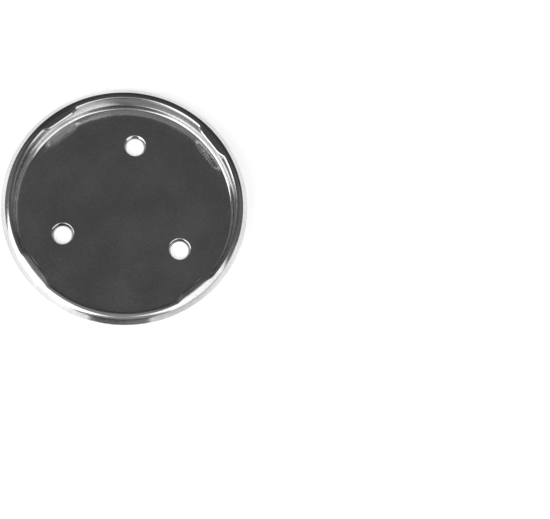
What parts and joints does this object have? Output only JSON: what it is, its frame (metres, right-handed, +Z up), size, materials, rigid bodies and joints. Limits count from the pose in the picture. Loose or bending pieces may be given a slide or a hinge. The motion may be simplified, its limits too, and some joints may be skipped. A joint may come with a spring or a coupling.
{
  "type": "mixer bowl base plate",
  "caption": "Shallow round dish drawn from steel sheet, with a flared skirt, bayonet lugs pressed in from the rim and dimpled screw holes in the floor. Locks a stand mixer's bowl to its base.",
  "frame": {"origin": "on the dish's axis, at the level of the feet under the screw holes, where the plate sits on the machine", "axes": "+Z up out of the dish, +Y towards the screw hole that lies midway between two lugs"},
  "size_m": [0.12, 0.12, 0.0163],
  "materials": {
    "polished_steel": "bright polished stainless sheet with a fine satin grain on the floor"
  },
  "bodies": {
    "root": {"base_plate": "polished_steel"}
  },
  "joints": []
}
